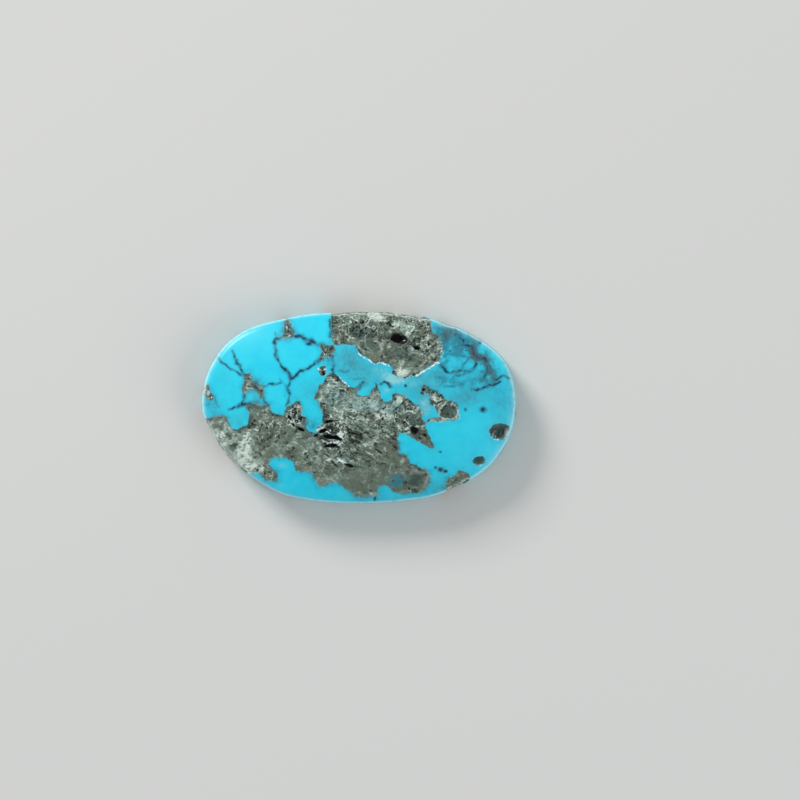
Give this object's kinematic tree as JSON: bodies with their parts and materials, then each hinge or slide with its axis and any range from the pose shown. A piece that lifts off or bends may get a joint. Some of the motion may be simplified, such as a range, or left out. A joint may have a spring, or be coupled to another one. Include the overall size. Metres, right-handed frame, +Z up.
{
  "type": "polished turquoise nugget",
  "caption": "Oval turquoise stone with a low polished dome, dark veins and sunken grey host rock, on a flat underside; a loose stone for display or setting.",
  "frame": {"origin": "middle of the flat underside, on the surface that the stone rests on", "axes": "+X along the stone's length, +Y across its width towards the large rock patch at the rim, +Z up through the dome"},
  "size_m": [0.03, 0.0184, 0.0052],
  "materials": {
    "turquoise_stone": "polished sky-blue turquoise with dark veins, and rough grey host rock in sunken patches"
  },
  "bodies": {
    "root": {"turquoise_stone": "turquoise_stone"}
  },
  "joints": []
}
